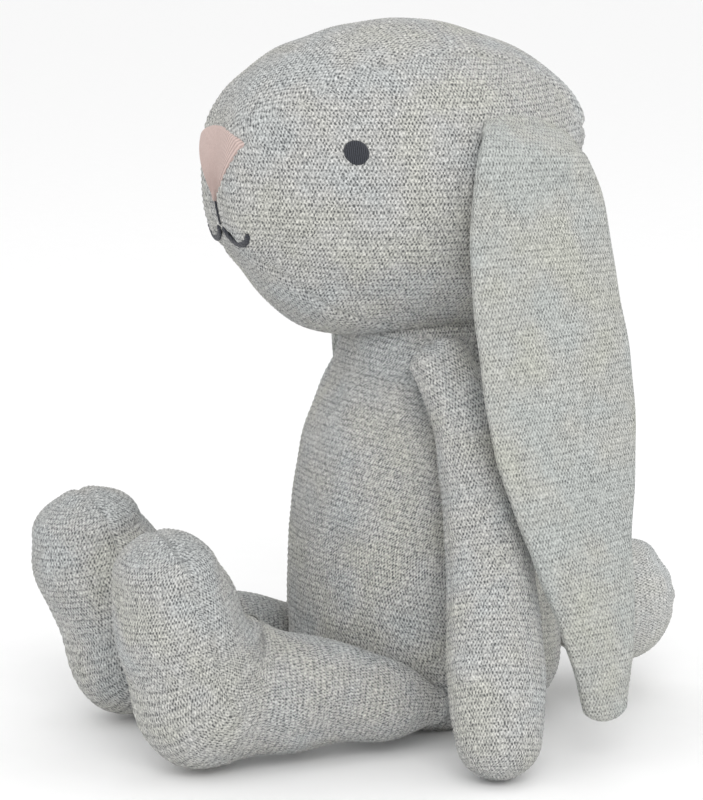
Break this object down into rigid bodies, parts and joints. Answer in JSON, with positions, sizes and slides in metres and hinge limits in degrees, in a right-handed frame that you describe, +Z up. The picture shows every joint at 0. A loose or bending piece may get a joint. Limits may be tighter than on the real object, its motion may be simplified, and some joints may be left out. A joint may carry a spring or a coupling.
{
  "type": "stuffed bunny rabbit",
  "caption": "Seated stuffed rabbit in grey rib knit, with an oval head, long hanging ears, an embroidered face, floppy limbs and a round tail.",
  "frame": {"origin": "on the flat patch under the body that the rabbit sits on, midway between its sides", "axes": "+Z up, -Y is the way that the rabbit faces, +X is the rabbit's own left"},
  "size_m": [0.2188, 0.2527, 0.277],
  "materials": {
    "body_knit": "matte melange rib knit",
    "ear_knit": "matte melange rib knit, slightly lighter",
    "tail_knit": "matte melange rib knit, slightly lighter",
    "nose_satin": "satin stitch in pale pink thread",
    "dark_thread": "satin stitch in dark navy thread",
    "stuffing": "white polyester fibre",
    "pellet_bag_cloth": "plain woven cotton"
  },
  "bodies": {
    "torso": {"torso_front": "body_knit", "torso_back": "body_knit", "torso_base": "body_knit", "torso_filling": "stuffing", "pellet_bag": "pellet_bag_cloth"},
    "neck": {"neck_filling": "stuffing"},
    "head": {"head_side_left": "body_knit", "head_side_right": "body_knit", "head_crown": "body_knit", "head_chin": "body_knit", "head_filling": "stuffing", "nose": "nose_satin", "mouth": "dark_thread", "eye_left": "dark_thread", "eye_right": "dark_thread"},
    "ear_left": {"ear_left_outer": "ear_knit", "ear_left_inner": "ear_knit", "ear_left_wadding": "stuffing"},
    "shoulder_left": {"arm_left_gather": "body_knit"},
    "arm_left": {"arm_left_outer": "body_knit", "arm_left_inner": "body_knit", "arm_left_filling": "stuffing"},
    "hip_left": {"leg_left_gather": "body_knit"},
    "leg_left": {"leg_left_upper": "body_knit", "leg_left_under": "body_knit", "leg_left_filling": "stuffing"},
    "foot_left": {"foot_left_sole": "body_knit", "foot_left_upper": "body_knit", "foot_left_filling": "stuffing"},
    "ear_right": {"ear_right_outer": "ear_knit", "ear_right_inner": "ear_knit", "ear_right_wadding": "stuffing"},
    "shoulder_right": {"arm_right_gather": "body_knit"},
    "arm_right": {"arm_right_outer": "body_knit", "arm_right_inner": "body_knit", "arm_right_filling": "stuffing"},
    "hip_right": {"leg_right_gather": "body_knit"},
    "leg_right": {"leg_right_upper": "body_knit", "leg_right_under": "body_knit", "leg_right_filling": "stuffing"},
    "foot_right": {"foot_right_sole": "body_knit", "foot_right_upper": "body_knit", "foot_right_filling": "stuffing"},
    "tail": {"tail_cover_left": "tail_knit", "tail_cover_right": "tail_knit", "tail_filling": "stuffing"}
  },
  "joints": [
    {"name": "neck_turn", "type": "hinge", "parent": "torso", "child": "neck", "pos_m": [0, 0.0155, 0.146], "axis": [0, 0, 1], "range_deg": [-3, 3]},
    {"name": "neck_nod", "type": "hinge", "parent": "neck", "child": "head", "pos_m": [0, 0.0155, 0.146], "axis": [1, 0, 0], "range_deg": [-1, 14]},
    {"name": "ear_left_lift", "type": "hinge", "parent": "head", "child": "ear_left", "pos_m": [0.059, 0.028, 0.2425], "axis": [0, -1, 0], "range_deg": [0, 120]},
    {"name": "arm_left_swing", "type": "hinge", "parent": "torso", "child": "shoulder_left", "pos_m": [0.0485, 0, 0.148], "axis": [-1, 0, 0], "range_deg": [-1, 110]},
    {"name": "arm_left_lift", "type": "hinge", "parent": "shoulder_left", "child": "arm_left", "pos_m": [0.0485, 0, 0.148], "axis": [-0.8192, -0.5736, 0], "range_deg": [-1, 70]},
    {"name": "leg_left_swing", "type": "hinge", "parent": "torso", "child": "hip_left", "pos_m": [0.047, -0.016, 0.0145], "axis": [-1, 0, 0], "range_deg": [-75, 16]},
    {"name": "leg_left_splay", "type": "hinge", "parent": "hip_left", "child": "leg_left", "pos_m": [0.047, -0.016, 0.0145], "axis": [0, 0, 1], "range_deg": [-5, 30]},
    {"name": "foot_left_flex", "type": "hinge", "parent": "leg_left", "child": "foot_left", "pos_m": [0.039, -0.085, 0.0265], "axis": [-1, 0, 0], "range_deg": [-3, 8]},
    {"name": "ear_right_lift", "type": "hinge", "parent": "head", "child": "ear_right", "pos_m": [-0.05673, 0.03508, 0.2425], "axis": [0.1219, 0.9925, 0], "range_deg": [0, 120]},
    {"name": "arm_right_swing", "type": "hinge", "parent": "torso", "child": "shoulder_right", "pos_m": [-0.04972, 0.00601, 0.148], "axis": [-0.9925, 0.1219, 0], "range_deg": [-1, 110]},
    {"name": "arm_right_lift", "type": "hinge", "parent": "shoulder_right", "child": "arm_right", "pos_m": [-0.04972, 0.00601, 0.148], "axis": [-0.7431, 0.6691, 0], "range_deg": [-1, 70]},
    {"name": "leg_right_swing", "type": "hinge", "parent": "torso", "child": "hip_right", "pos_m": [-0.047, -0.016, 0.0145], "axis": [-1, 0, 0], "range_deg": [-75, 16]},
    {"name": "leg_right_splay", "type": "hinge", "parent": "hip_right", "child": "leg_right", "pos_m": [-0.047, -0.016, 0.0145], "axis": [0, 0, -1], "range_deg": [-5, 30]},
    {"name": "foot_right_flex", "type": "hinge", "parent": "leg_right", "child": "foot_right", "pos_m": [-0.039, -0.085, 0.0265], "axis": [-1, 0, 0], "range_deg": [-3, 8]},
    {"name": "tail_tilt", "type": "hinge", "parent": "torso", "child": "tail", "pos_m": [0, 0.0685, 0.039], "axis": [1, 0, 0], "range_deg": [-12, 12]}
  ]
}
